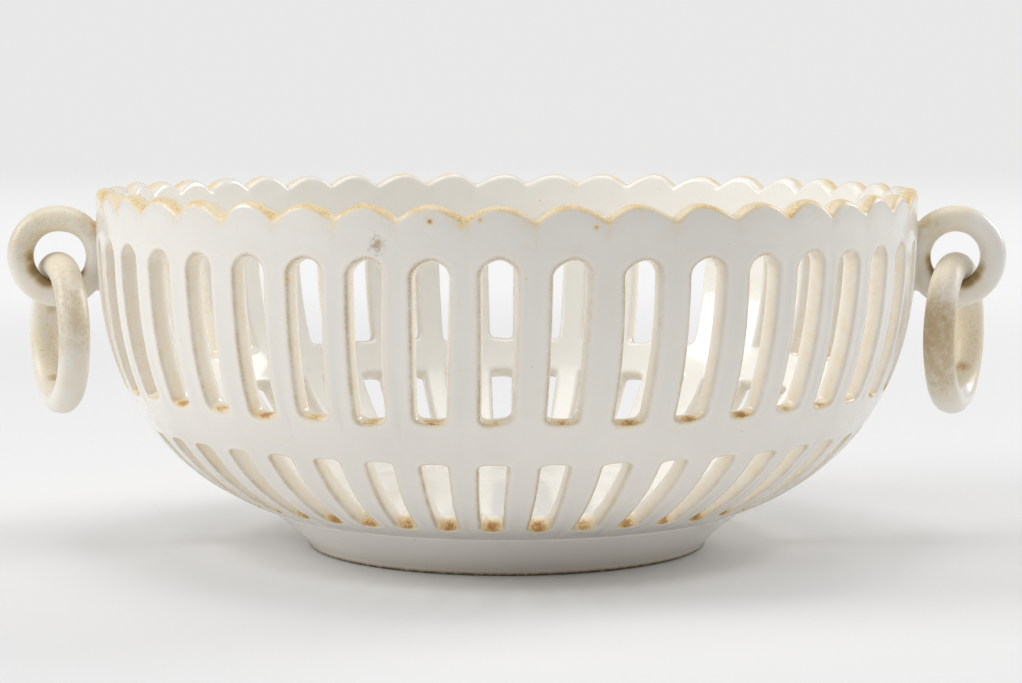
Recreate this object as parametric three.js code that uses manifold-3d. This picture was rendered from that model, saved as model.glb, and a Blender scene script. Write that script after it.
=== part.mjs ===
// A pierced creamware basket: a bowl on a foot ring, with a scalloped rim, two tiers of slots,
// and on each side a fixed ring that holds a loose ring.
// Millimetres, +Z up, the front is -Y, the origin is the centre of the face the foot stands on.

import * as THREE from "three";
import { mergeVertices } from "three/addons/utils/BufferGeometryUtils.js";
import Module from "manifold-3d";

const wasm = await Module();
wasm.setup();

// Bowl, from the table upwards: each band or tier adds its own height.
const footHeight = 8;
const lowerBand = 6;
const lowerSlotHeight = 18.8;
const middleBand = 10;
const upperSlotHeight = 37.2;
const rimBand = 9.6;
const scallopDepth = 2.8;
const lobeFullness = 1.35;

// Wall: one flattened oval curve, widest a little under the rim.
const rimRadius = 104.9;
const wallThickness = 4.7;
const widestBelowRim = 5;
const curveBelowFootTop = 5.7;
const curveFullness = 2.61;
const curveRise = 2.87;
const lipRounding = 1.4;

// Foot ring. It flares out and up to footTopRadius, under the wall.
const footTopRadius = 59;
const footBottomRadius = 51;
const footRingThickness = 6;
const footEdgeChamfer = 0.8;

// Slots: as many on the front half as on the back, with a wider bar behind each handle.
const slotsPerHalf = 21;
const handleBarAngle = THREE.MathUtils.degToRad(12.4);
const upperSlotTopWidth = 8.8;
const upperSlotBottomWidth = 7.6;
const upperSlotTopRounding = 3.9;
const upperSlotBottomRounding = 1.8;
const lowerSlotTopWidth = 7.8;
const lowerSlotBottomWidth = 5.6;
const lowerSlotRounding = 1.7;

// The slots were cut by hand: their spacing drifts a little round the front, and the back half is
// turned a little against the front.
const driftOffset = THREE.MathUtils.degToRad(0.35);
const driftLong = THREE.MathUtils.degToRad(0.6);
const driftShort = THREE.MathUtils.degToRad(0.45);
const backTurn = THREE.MathUtils.degToRad(1.06);

// The front slots also lean: the front of the wall is twisted by this angle at the table, and not
// at all at their tops.
const frontTwist = THREE.MathUtils.degToRad(2.8);

// Fixed ring: a torus in a radial upright plane, pressed on the wall with slip.
const handleBelowRim = 18.2;
const fixedRingHole = 12.7;
const fixedRingTube = 6.8;
const fixedRingSunkIn = 2.2;
const slipWeb = 1;
const slipHeight = 21.6;
const slipWidth = 9.6;
const slipReach = 3.2;
const slipFlare = 0.8;

// Loose ring: hangs on the bottom of the fixed ring, turned out of the radial plane. Its section
// is an oval, wider along the ring's axis than it is thick.
const looseRingHole = 27.6;
const looseRingTube = 7.2;
const looseRingWidth = 8;
const looseRingTurn = THREE.MathUtils.degToRad(22);

// Clearance between pieces that touch.
const gap = 0.3;

// Facet counts.
const footSegments = 48;
const ringSegments = 36;
const tubeSegments = 12;

// Heights that follow from the stack.
const lowerSlotBottom = footHeight + lowerBand;
const lowerSlotTop = lowerSlotBottom + lowerSlotHeight;
const upperSlotBottom = lowerSlotTop + middleBand;
const upperSlotTop = upperSlotBottom + upperSlotHeight;
const rimHeight = upperSlotTop + rimBand + scallopDepth;
const widestHeight = rimHeight - widestBelowRim;
const curveRoot = footHeight - curveBelowFootTop;
const underside = footHeight + gap;

// Outer radius of the wall at a height.
function wallRadius(z) {
  const depth = Math.max(widestHeight - z, 0) / (widestHeight - curveRoot);
  return rimRadius * (1 - depth ** curveRise) ** (1 / curveFullness);
}

// Height of the wall's outer face at a radius, below its widest place.
function wallHeight(radius) {
  const depth = (1 - (radius / rimRadius) ** curveFullness) ** (1 / curveRise);
  return widestHeight - depth * (widestHeight - curveRoot);
}

// Place of the handle, from the wall that carries it.
const handleHeight = rimHeight - handleBelowRim;
const fixedRingRadius = (fixedRingHole + fixedRingTube) / 2;
const fixedRingReach = fixedRingRadius + fixedRingTube / 2;
const handleDistance = wallRadius(handleHeight) + fixedRingReach - fixedRingSunkIn;
const looseRingRadius = (looseRingHole + looseRingTube) / 2;
const looseRingDrop = fixedRingHole / 2 - gap - looseRingTube / 2 + looseRingRadius;

const glaze = new THREE.MeshStandardMaterial({ color: 0xd9d4cb, roughness: 0.22, metalness: 0 });
const stainedGlaze = new THREE.MeshStandardMaterial({ color: 0xcfc3ad, roughness: 0.3, metalness: 0 });
const slip = new THREE.MeshStandardMaterial({ color: 0xd6cfc2, roughness: 0.3, metalness: 0 });

// A closed geometry with its shared vertices merged.
function closed(geometry) {
  const bare = geometry.clone();
  bare.deleteAttribute("normal");
  bare.deleteAttribute("uv");
  return mergeVertices(bare);
}

// The same as a solid that can be joined and cut.
function toSolid(geometry) {
  const merged = closed(geometry);
  return new wasm.Manifold(
    new wasm.Mesh({
      numProp: 3,
      vertProperties: merged.attributes.position.array,
      triVerts: new Uint32Array(merged.index.array),
    }),
  );
}

// A solid as a geometry with flat faces.
function toGeometry(solid) {
  const mesh = solid.getMesh();
  const indexed = new THREE.BufferGeometry();
  indexed.setAttribute("position", new THREE.BufferAttribute(mesh.vertProperties, 3));
  indexed.setIndex(new THREE.BufferAttribute(mesh.triVerts, 1));
  const flat = indexed.toNonIndexed();
  flat.computeVertexNormals();
  return flat;
}

function namedMesh(name, geometry, material) {
  const mesh = new THREE.Mesh(geometry, material);
  mesh.name = name;
  return mesh;
}

// A profile of [radius, height] pairs turned about the Z axis.
function turned(profile, segments) {
  const points = profile.map(([radius, height]) => new THREE.Vector2(radius, height));
  return new THREE.LatheGeometry(points, segments).rotateX(Math.PI / 2);
}

// A point of the wall: an angle from the front towards +X, a height on the outer face,
// and how far the point lies inside that face, along its normal.
function wallPoint([straight, z], inside) {
  const frontShare = (1 + Math.cos(straight)) / 2;
  const angle = straight - frontTwist * frontShare * Math.max(0, 1 - z / upperSlotTop) ** 2;
  const step = 0.01;
  const slope = (wallRadius(z + step) - wallRadius(z - step)) / (2 * step);
  const length = Math.hypot(slope, 1);
  const radius = wallRadius(z) - inside / length;
  return [radius * Math.sin(angle), -radius * Math.cos(angle), z + (inside * slope) / length];
}

// How far a slot lies from its even place.
function drift(even) {
  if (Math.cos(even) < 0) return -backTurn * Math.cos(even);
  return driftLong * Math.sin(3 * even) - driftShort * Math.cos(6 * even) - driftOffset;
}

// The slots' angles: two halves, centred on the front and on the back.
function slotAngles() {
  const pitch = (Math.PI - handleBarAngle) / (slotsPerHalf - 1);
  const angles = [];
  for (const centre of [0, Math.PI]) {
    for (let i = 0; i < slotsPerHalf; i++) {
      const even = centre + (i - (slotsPerHalf - 1) / 2) * pitch;
      angles.push(even + drift(even));
    }
  }
  return angles;
}

// One cell of the wall for each slot's angle, from the middle of one bar to the middle of the next.
function wallCells() {
  const angles = slotAngles();
  const turn = 2 * Math.PI;
  const middles = angles.map((angle, i) => (angle + (angles[i + 1] ?? angles[0] + turn)) / 2);
  const last = middles.length - 1;
  return angles.map((slot, i) => ({ slot, left: middles[i - 1] ?? middles[last] - turn, right: middles[i] }));
}

// A quarter arc of a slot's corner, as [sideways, upwards] points from one angle to the other.
function corner(x, y, radius, from, steps) {
  const points = [];
  for (let i = 0; i <= steps; i++) {
    const angle = from + (i * Math.PI) / 2 / steps;
    points.push([x + radius * Math.cos(angle), y + radius * Math.sin(angle)]);
  }
  return points;
}

// Outline of a slot in its own plane, anticlockwise from the middle of the lower left corner.
// Each side has a point at half its height.
function slotOutline(slot, length) {
  const quarter = Math.PI / 2;
  const low = slot.bottomWidth / 2 - slot.bottomRounding;
  const high = slot.topWidth / 2 - slot.topRounding;
  const top = length - slot.topRounding;
  const lowerRight = corner(low, slot.bottomRounding, slot.bottomRounding, -quarter, 2);
  const upperRight = corner(high, top, slot.topRounding, 0, slot.topSteps);
  const halfway = [(slot.bottomWidth + slot.topWidth) / 4, length / 2];
  const rightSide = [...lowerRight, halfway, ...upperRight];
  const leftSide = rightSide.map(([x, y]) => [-x, y]).reverse();
  const outline = [...rightSide, ...leftSide];
  return [...outline.slice(-2), ...outline.slice(0, -2)];
}

// A slot's opening on the wall, as [angle, height] points.
function slotOpening(slot, angle) {
  const rise = slot.top - slot.bottom;
  const run = wallRadius(slot.top) - wallRadius(slot.bottom);
  const length = Math.hypot(rise, run);
  return slotOutline(slot, length).map(([x, y]) => {
    const z = slot.bottom + (y * rise) / length;
    return [angle + x / wallRadius(z), z];
  });
}

// The border of a cell, with one point for each point of the opening inside it.
function cellBorder(cell, opening, slot, lowerEdge, upperEdge) {
  const bottomCount = 3;
  const sideCount = 4;
  const topCount = 2 * slot.topSteps - 1;
  const share = (from, to, i, count) => from + ((to - from) * i) / count;
  const border = [];
  for (let i = 0; i <= bottomCount; i++) {
    border.push([share(cell.left, cell.right, i, bottomCount), lowerEdge(i / bottomCount)]);
  }
  for (let i = 1; i < sideCount; i++) {
    border.push([cell.right, opening[bottomCount + i][1]]);
  }
  for (let i = 0; i <= topCount; i++) {
    border.push([share(cell.right, cell.left, i, topCount), upperEdge(1 - i / topCount)]);
  }
  for (let i = 1; i < sideCount; i++) {
    border.push([cell.left, opening[bottomCount + sideCount + topCount + i][1]]);
  }
  return border;
}

// Triangles collected as a list of corner positions.
class Faces {
  positions = [];

  triangle(a, b, c) {
    this.positions.push(...a, ...b, ...c);
  }

  // Squares between two rows of points, both read the same way.
  strip(lower, upper) {
    for (let i = 0; i + 1 < lower.length; i++) {
      this.triangle(lower[i], lower[i + 1], upper[i + 1]);
      this.triangle(lower[i], upper[i + 1], upper[i]);
    }
  }

  geometry() {
    const made = new THREE.BufferGeometry();
    made.setAttribute("position", new THREE.Float32BufferAttribute(this.positions, 3));
    return made;
  }
}

// Both faces of one cell round its slot, and the walls of the slot between them.
function addCell(faces, border, opening) {
  const ring = (points, inside) => [...points, points[0]].map((point) => wallPoint(point, inside));
  faces.strip(ring(border, 0), ring(opening, 0));
  faces.strip(ring(opening, wallThickness), ring(border, wallThickness));
  faces.strip(ring(opening, 0), ring(opening, wallThickness));
}

// The rounded lip along the top of one cell.
function addLip(faces, edge) {
  const row = (inside, lift) => edge.map(([angle, z]) => wallPoint([angle, z + lift], inside));
  const rows = [
    row(0, 0),
    row(lipRounding / 2, lipRounding),
    row(wallThickness - lipRounding / 2, lipRounding),
    row(wallThickness, 0),
  ];
  for (let i = 0; i + 1 < rows.length; i++) {
    faces.strip(rows[i], rows[i + 1]);
  }
}

// The underside and the floor below one cell, each a fan from the axis.
function addFloor(faces, edge) {
  const under = edge.map((point) => wallPoint(point, 0));
  const floor = edge.map((point) => wallPoint(point, wallThickness));
  const middle = (points) => [0, 0, points[0][2]];
  for (let i = 0; i + 1 < edge.length; i++) {
    faces.triangle(middle(under), under[i + 1], under[i]);
    faces.triangle(middle(floor), floor[i], floor[i + 1]);
  }
}

function basketBowl() {
  const upperSlot = {
    bottom: upperSlotBottom,
    top: upperSlotTop,
    bottomWidth: upperSlotBottomWidth,
    topWidth: upperSlotTopWidth,
    bottomRounding: upperSlotBottomRounding,
    topRounding: upperSlotTopRounding,
    topSteps: 3,
  };
  const lowerSlot = {
    bottom: lowerSlotBottom,
    top: lowerSlotTop,
    bottomWidth: lowerSlotBottomWidth,
    topWidth: lowerSlotTopWidth,
    bottomRounding: lowerSlotRounding,
    topRounding: lowerSlotRounding,
    topSteps: 2,
  };
  const foot = () => underside;
  const band = () => lowerSlotTop + middleBand / 2;
  const lobe = (share) => Math.cos((Math.PI / 2) * Math.abs(2 * share - 1) ** lobeFullness) ** 2;
  const scallop = (share) => rimHeight - lipRounding - scallopDepth * (1 - lobe(share));
  const faces = new Faces();
  for (const cell of wallCells()) {
    const lowerOpening = slotOpening(lowerSlot, cell.slot);
    const upperOpening = slotOpening(upperSlot, cell.slot);
    const lowerBorder = cellBorder(cell, lowerOpening, lowerSlot, foot, band);
    const upperBorder = cellBorder(cell, upperOpening, upperSlot, band, scallop);
    addCell(faces, lowerBorder, lowerOpening);
    addCell(faces, upperBorder, upperOpening);
    addLip(faces, upperBorder.filter(([, z]) => z > upperSlotTop).reverse());
    addFloor(faces, lowerBorder.filter(([, z]) => z === underside));
  }
  const geometry = closed(faces.geometry()).toNonIndexed();
  geometry.computeVertexNormals();
  return geometry;
}

function footRing() {
  const innerRadius = footBottomRadius - footRingThickness;
  const profile = [
    [innerRadius, footHeight],
    [innerRadius, footEdgeChamfer],
    [innerRadius + footEdgeChamfer, 0],
    [footBottomRadius - footEdgeChamfer, 0],
    [footBottomRadius, footEdgeChamfer],
    [footTopRadius, wallHeight(footTopRadius) - gap],
    [wallRadius(underside), footHeight],
    [innerRadius, footHeight],
  ];
  return turned(profile, footSegments);
}

// The wall behind a handle as a plain solid, grown outwards, for cutting what meets it.
function grownWall(growth) {
  const steps = 4;
  const bottom = handleHeight - slipHeight;
  const outer = [];
  for (let i = 0; i <= steps; i++) {
    const z = bottom + (2 * slipHeight * i) / steps;
    outer.push([wallRadius(z) + growth, z]);
  }
  return toSolid(turned([[0, bottom], ...outer, [0, handleHeight + slipHeight]], 4 * ringSegments));
}

// An upright ring in the XZ plane, centred on the handle of one side.
function handleTorus(side, ringRadius, tubeRadius) {
  const torus = new THREE.TorusGeometry(ringRadius, tubeRadius, tubeSegments, ringSegments);
  return torus.rotateX(Math.PI / 2).translate(side * handleDistance, 0, handleHeight);
}

function fixedRing(side) {
  const ring = toSolid(handleTorus(side, fixedRingRadius, fixedRingTube / 2));
  return toGeometry(ring.subtract(grownWall(slipWeb + 2 * gap)));
}

// The pad of slip between the wall and the fixed ring: an oval that flares towards the wall.
function slipJoint(side) {
  const wall = wallRadius(handleHeight);
  const foot = slipHeight / 2;
  const profile = [
    [0, wall - wallThickness],
    [foot, wall - wallThickness],
    [foot, wall + gap],
    [foot - slipFlare, wall + slipReach / 3],
    [foot - 1.5 * slipFlare, wall + slipReach],
    [0, wall + slipReach],
  ];
  const pad = turned(profile, ringSegments);
  pad.rotateY((side * Math.PI) / 2).scale(1, slipWidth / slipHeight, 1);
  pad.translate(0, 0, handleHeight);
  const ringHollow = toSolid(handleTorus(side, fixedRingRadius, fixedRingTube / 2 + gap));
  return toGeometry(toSolid(pad).subtract(grownWall(gap)).subtract(ringHollow));
}

function looseRing(side) {
  const ring = new THREE.TorusGeometry(looseRingRadius, looseRingTube / 2, tubeSegments, ringSegments);
  ring.scale(1, 1, looseRingWidth / looseRingTube);
  const mesh = namedMesh(side < 0 ? "left_loose_ring" : "right_loose_ring", ring, stainedGlaze);
  mesh.rotation.set(Math.PI / 2, 0, side * (Math.PI / 2 - looseRingTurn), "ZYX");
  mesh.position.set(side * handleDistance, 0, handleHeight - looseRingDrop);
  return mesh;
}

function handle(side) {
  const word = side < 0 ? "left" : "right";
  const group = new THREE.Group();
  group.add(namedMesh(word + "_fixed_ring", fixedRing(side), glaze));
  group.add(namedMesh(word + "_slip_joint", slipJoint(side), slip));
  group.add(looseRing(side));
  return group;
}

const basket = new THREE.Group();
basket.add(namedMesh("basket_bowl", basketBowl(), glaze));
basket.add(namedMesh("foot_ring", footRing(), glaze));
basket.add(handle(-1));
basket.add(handle(1));

export default basket;
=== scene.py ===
# A pierced creamware basket: a bowl on a foot ring, with a scalloped rim and two tiers of slots,
# and on each side a fixed ring that holds a loose ring.
# Metres, +Z up, the front is -Y, the origin is the centre of the face the foot stands on.

import math
import random

import bpy
import numpy as np
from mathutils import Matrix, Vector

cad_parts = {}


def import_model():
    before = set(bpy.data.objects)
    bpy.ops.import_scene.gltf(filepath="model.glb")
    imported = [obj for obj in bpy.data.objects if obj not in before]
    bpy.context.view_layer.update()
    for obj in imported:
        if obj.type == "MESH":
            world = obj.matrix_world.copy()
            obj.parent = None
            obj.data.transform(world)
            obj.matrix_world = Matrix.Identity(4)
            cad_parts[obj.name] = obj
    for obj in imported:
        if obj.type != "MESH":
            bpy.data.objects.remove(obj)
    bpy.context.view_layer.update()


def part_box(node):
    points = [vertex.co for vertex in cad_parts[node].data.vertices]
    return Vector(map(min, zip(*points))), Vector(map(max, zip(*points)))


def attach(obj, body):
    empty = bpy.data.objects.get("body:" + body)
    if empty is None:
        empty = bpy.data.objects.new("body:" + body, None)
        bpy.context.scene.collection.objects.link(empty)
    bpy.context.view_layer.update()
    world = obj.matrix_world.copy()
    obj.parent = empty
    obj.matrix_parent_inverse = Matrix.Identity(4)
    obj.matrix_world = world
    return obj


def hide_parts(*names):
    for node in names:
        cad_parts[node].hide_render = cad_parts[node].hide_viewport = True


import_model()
MM = 0.001

# Bowl, from the table upwards.
foot_height = 8.0 * MM
lower_slot_bottom = 14.0 * MM
lower_slot_top = 32.8 * MM
upper_slot_bottom = 42.8 * MM
upper_slot_top = 80.0 * MM
band_middle = (lower_slot_top + upper_slot_bottom) / 2
rim_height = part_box("basket_bowl")[1].z
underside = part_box("basket_bowl")[0].z

# Wall: one flattened oval curve, widest a little under the rim. The radius is 0.25 mm under the
# CAD's, which leaves room for the hand's unevenness and the raised glaze.
rim_radius = 104.65 * MM
wall_thickness = 4.7 * MM
widest_height = 87.4 * MM
curve_root = 2.3 * MM
curve_fullness = 2.61
curve_rise = 2.87
wall_wobble = 0.12 * MM

# Rim: a lobe over each slot, with a rounded lip.
scallop_depth = 3.2 * MM
notch_rounding = 0.04
lobe_lean = 0.05
lobe_unevenness = 0.3 * MM
lip_rise = 1.7 * MM
lip_fullness = 0.75

# The bars are rounded like pillars: they swell into the slots by bar_swell, and each edge is an
# oval with a width, a depth and a power that makes it fuller than an ellipse.
bar_swell = 0.35 * MM
upper_outer_edge = (1.0 * MM, 2.2 * MM, 2.5)
lower_outer_edge = (0.8 * MM, 1.5 * MM, 2.4)
inner_edge = (1.3 * MM, 2.1 * MM, 2.2)

# Slots: as many on the front half as on the back, with a wider bar behind each handle. The front
# ones drift from even places and lean with a twist of the wall, and the back ones are turned.
slots_per_half = 21
handle_bar_angle = math.radians(12.4)
drift_offset = math.radians(0.35)
drift_long = math.radians(0.6)
drift_short = math.radians(0.45)
back_turn = math.radians(1.06)
front_twist = math.radians(2.8)

# The hand in each slot: its width varies by a share of the width, and the rest by shares of the
# unevenness of its tier.
width_unevenness = 0.03
end_unevenness = 0.35
lean_unevenness = 0.3
bow_unevenness = 0.22
sill_unevenness = 0.5

# Stains of the bowl: a line beside each slot's edge, partly a stain and partly painted shade, brown
# settled on the sills, and the rim's stain, which reaches further down in the notches than on the lobes.
line_distance = 0.45 * MM
line_reach = 0.5 * MM
sill_stain_low = 0.2 * MM
sill_stain_high = 2.2 * MM
lobe_stain_reach = 2.0 * MM
notch_stain_reach = 2.8 * MM

# Floor.
floor_dip = 1.2 * MM
floor_flatness = 13

# Foot ring.
foot_bottom_radius = 51.0 * MM
foot_inner_radius = 45.0 * MM
foot_edge_rounding = 0.4 * MM
flare_start = 1.2 * MM
flare_end = 10.7 * MM

# Handles.
handle_height = 74.2 * MM
handle_distance = 115.66 * MM
fixed_ring_radius = 9.75 * MM
fixed_ring_tube = 3.4 * MM
slip_half_height = 10.6 * MM
slip_half_width = 4.7 * MM
slip_turn_along = math.radians(46)
slip_turn_across = math.radians(80)
slip_in_wall = 0.12 * MM
slip_in_ring = 0.15 * MM
slip_pull = 0.42
loose_ring_height = 54.35 * MM
loose_ring_radius = 17.4 * MM
loose_ring_tube = 3.6 * MM
loose_ring_half_width = 4.0 * MM
loose_ring_turn = math.radians(22)
left_ring_thinning = 0.8 * MM
ring_swell = 0.02

# Points closer than this are joined.
joining_distance = 0.0001 * MM


# Shapes shared by the pieces


def waves(seed, count, shortest, longest):
    """An uneven but smooth field over points: sine waves in seeded directions, about 1 high."""
    source = random.Random(seed)
    made = []
    for _ in range(count):
        direction = np.array([source.gauss(0, 1) for _ in range(3)])
        direction *= 2 * math.pi / (source.uniform(shortest, longest) * np.linalg.norm(direction))
        made.append((direction, source.uniform(0, 2 * math.pi)))

    def field(points):
        return sum(np.sin(points @ wave + phase) for wave, phase in made) / math.sqrt(count)

    return field


def lerp(a, b, share):
    return a + (b - a) * share


def smooth(value, low, high):
    """0 below low and 1 above high, with a soft change between."""
    share = np.clip((value - low) / (high - low), 0, 1)
    return share * share * (3 - 2 * share)


class Sheet:
    """A mesh collected as grids of points, with a value per point for each named attribute."""

    def __init__(self, *attributes):
        self.points = []
        self.quads = []
        self.values = {name: [] for name in attributes}
        self.count = 0

    def grid(self, points, closed_rows=False, closed_columns=False, **values):
        """points has one row after another, each row's points read anticlockwise seen from outside."""
        rows, columns = points.shape[:2]
        self.points.append(points.reshape(-1, 3))
        for name, stored in self.values.items():
            stored.append(np.broadcast_to(values.get(name, 0.0), (rows, columns)).reshape(-1))
        index = self.count + np.arange(rows * columns).reshape(rows, columns)
        if closed_rows:
            index = np.concatenate([index, index[:, :1]], 1)
        if closed_columns:
            index = np.concatenate([index, index[:1]], 0)
        corners = index[:-1, :-1], index[:-1, 1:], index[1:, 1:], index[1:, :-1]
        self.quads.append(np.stack(corners, -1).reshape(-1, 4))
        self.count += rows * columns

    def piece(self, name, material):
        """The sheet as an object, with the points that coincide joined."""
        points = np.concatenate(self.points)
        places = np.round(points / joining_distance).astype(np.int64)
        _, first, joined = np.unique(places, axis=0, return_index=True, return_inverse=True)
        quads = joined.reshape(-1)[np.concatenate(self.quads)]
        faces = []
        for quad in quads.tolist():
            face = [v for i, v in enumerate(quad) if v != quad[i - 1]]
            if len(face) > 2:
                faces.append(face)
        mesh = bpy.data.meshes.new(name)
        mesh.from_pydata(points[first].tolist(), [], faces)
        for attribute, stored in self.values.items():
            layer = mesh.attributes.new(attribute, "FLOAT", "POINT")
            layer.data.foreach_set("value", np.concatenate(stored)[first].astype(np.float32))
        mesh.materials.append(material)
        mesh.shade_smooth()
        made = bpy.data.objects.new(name, mesh)
        bpy.context.scene.collection.objects.link(made)
        return made


# The bowl's wall


def wall_radius(z):
    """Outer radius of the wall at a height."""
    depth = np.clip(widest_height - z, 0, None) / (widest_height - curve_root)
    return rim_radius * (1 - depth**curve_rise) ** (1 / curve_fullness)


wobble = waves(seed=11, count=9, shortest=30 * MM, longest=90 * MM)


def wall_point(angle, z, inside):
    """A point of the wall: its angle from the front towards +X, its height on the outer face,
    and how far it lies inside that face, along the face's normal. The front of the wall is twisted
    below the tops of the slots, so the slots lean there."""
    front_share = (1 + np.cos(angle)) / 2
    angle = angle - front_twist * front_share * np.maximum(0, 1 - z / upper_slot_top) ** 2
    step = 0.01 * MM
    slope = (wall_radius(z + step) - wall_radius(z - step)) / (2 * step)
    length = np.hypot(slope, 1)
    across = np.stack([np.sin(angle), -np.cos(angle), np.zeros_like(angle)], -1)
    up = np.array([0.0, 0.0, 1.0])
    face = wall_radius(z)[..., None] * across + z[..., None] * up
    normal = (across - slope[..., None] * up) / length[..., None]
    uneven = wall_wobble * wobble(face) * smooth(z, foot_height, lower_slot_top)
    return face + (uneven - inside)[..., None] * normal


run_heights = np.linspace(underside, rim_height, 1200)
run_steps = np.hypot(np.diff(run_heights), np.diff(wall_radius(run_heights)))
run_lengths = np.concatenate([[0], np.cumsum(run_steps)])


def along_wall(z_from, z_to, share):
    """The height at a share of the way along the curved wall, from one height to another."""
    start = np.interp(z_from, run_heights, run_lengths)
    end = np.interp(z_to, run_heights, run_lengths)
    return np.interp(lerp(start, end, share), run_lengths, run_heights)


def slot_angles():
    """The slots' angles: two halves, centred on the front and on the back, cut by hand."""
    pitch = (math.pi - handle_bar_angle) / (slots_per_half - 1)
    places = (np.arange(slots_per_half) - (slots_per_half - 1) / 2) * pitch
    front = places + drift_long * np.sin(3 * places) - drift_short * np.cos(6 * places) - drift_offset
    back = places + math.pi + back_turn * np.cos(places)
    return np.concatenate([front, back])


def arch(half_width, rise, powers, start, end):
    """Part of an oval from one angle to the other. Powers under 1 make it fuller than an ellipse
    sideways and upwards, and powers over 1 make it more pointed."""
    angle = np.linspace(start, end, 80)
    x = half_width * np.sign(np.cos(angle)) * np.abs(np.cos(angle)) ** powers[0]
    y = rise * np.sign(np.sin(angle)) * np.abs(np.sin(angle)) ** powers[1]
    return np.stack([x, y], -1)


def evenly(points, count):
    """The first count of count + 1 points spaced evenly along a line of points."""
    steps = np.linalg.norm(np.diff(points, axis=0), axis=1)
    along = np.concatenate([[0], np.cumsum(steps)])
    wanted = np.linspace(0, along[-1], count + 1)[:-1]
    return np.stack([np.interp(wanted, along, points[:, k]) for k in (0, 1)], -1)


class Tier:
    """One row of slots: its heights, the slots' widths and roundings, the outer edge, how level the
    sills are cut, the height and width of the raised glaze round a slot, and the mesh counts."""

    def __init__(self, heights, widths, rises, powers, outer_edge, sill_cut, ridge, counts, margin, uneven):
        self.bottom, self.top = heights
        self.bottom_width, self.top_width = widths
        self.bottom_rise, self.top_rise = rises
        self.bottom_powers, self.top_powers = powers
        self.outer_edge = outer_edge
        self.sill_cut = sill_cut
        self.ridge_height, self.ridge_reach = ridge
        self.bottom_count, self.side_count, self.top_count = counts
        self.margin = margin
        self.uneven = uneven

    def outline(self, hand):
        """A slot's outline as [sideways, up] points in its plane, anticlockwise. The bars swell past it."""
        run = wall_radius(np.array(self.top)) - wall_radius(np.array(self.bottom))
        length = math.hypot(self.top - self.bottom, run)
        widen = 1 + width_unevenness * hand.uniform(-1, 1)
        bottom = (self.bottom_width / 2 * widen, self.bottom_rise, self.bottom_powers)
        top = (self.top_width / 2 * widen, self.top_rise, self.top_powers)
        below = np.array([0, self.bottom_rise + self.uneven * end_unevenness * hand.uniform(-1, 1)])
        above = np.array([0, length - self.top_rise + self.uneven * end_unevenness * hand.uniform(-1, 1)])
        under = arch(*bottom, math.pi, 2 * math.pi) + below
        over = arch(*top, 0, math.pi) + above
        parts = [
            evenly(under, self.bottom_count),
            evenly(np.stack([under[-1], over[0]]), self.side_count),
            evenly(over, self.top_count),
            evenly(np.stack([over[-1], under[0]]), self.side_count),
        ]
        points = np.concatenate(parts)
        up = np.clip(points[:, 1] / length, 0, 1)
        lean = self.uneven * lean_unevenness * hand.uniform(-1, 1) * (up - 0.5)
        bow = self.uneven * bow_unevenness * hand.uniform(-1, 1) * np.sin(math.pi * up)
        arched = np.clip((points[:, 1] - above[1]) / self.top_rise, 0, 1)
        points[:, 0] += lean + bow + self.uneven * hand.uniform(-0.1, 1.0) * arched**2
        sill_tilt = self.uneven * sill_unevenness * hand.uniform(-1, 1)
        points[:, 1] += sill_tilt * (points[:, 0] / top[0]) * (1 - up) ** 6
        return points, length

    def on_wall(self, angle, points, length):
        """Points of the slot's plane as angles and heights on the wall."""
        z = self.bottom + points[..., 1] * (self.top - self.bottom) / length
        return angle + points[..., 0] / wall_radius(z), z


def outward(points):
    """The outward normals of a closed anticlockwise outline."""
    along = np.roll(points, -1, 0) - np.roll(points, 1, 0)
    along /= np.linalg.norm(along, axis=1)[:, None]
    return np.stack([along[:, 1], -along[:, 0]], -1)


def border(left, right, lower, upper, tier):
    """The edge of a cell, with one point for each point of the opening inside it. lower and upper
    give the heights of its lower and upper edge at a share of the way from left to right."""
    counts = tier.bottom_count, tier.side_count, tier.top_count
    bottom, side, top = (np.arange(count) / count for count in counts)
    angle = [
        lerp(left, right, bottom),
        np.full(tier.side_count, right),
        lerp(right, left, top),
        np.full(tier.side_count, left),
    ]
    z = [
        lower(bottom),
        along_wall(lower(np.array(1.0)), upper(np.array(1.0)), side),
        upper(1 - top),
        along_wall(upper(np.array(0.0)), lower(np.array(0.0)), side),
    ]
    return np.concatenate(angle), np.concatenate(z)


def edge_rows(edge, count):
    """Rows round an oval edge: distance out of the opening, depth from the face, and turn (0 to 1)."""
    width, depth, fullness = edge
    for turn in np.linspace(0, 1, count + 1):
        angle = turn * math.pi / 2
        left = width * (1 - math.sin(angle) ** (2 / fullness))
        yield left - bar_swell, depth * (1 - max(math.cos(angle), 0) ** (2 / fullness)), turn


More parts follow.
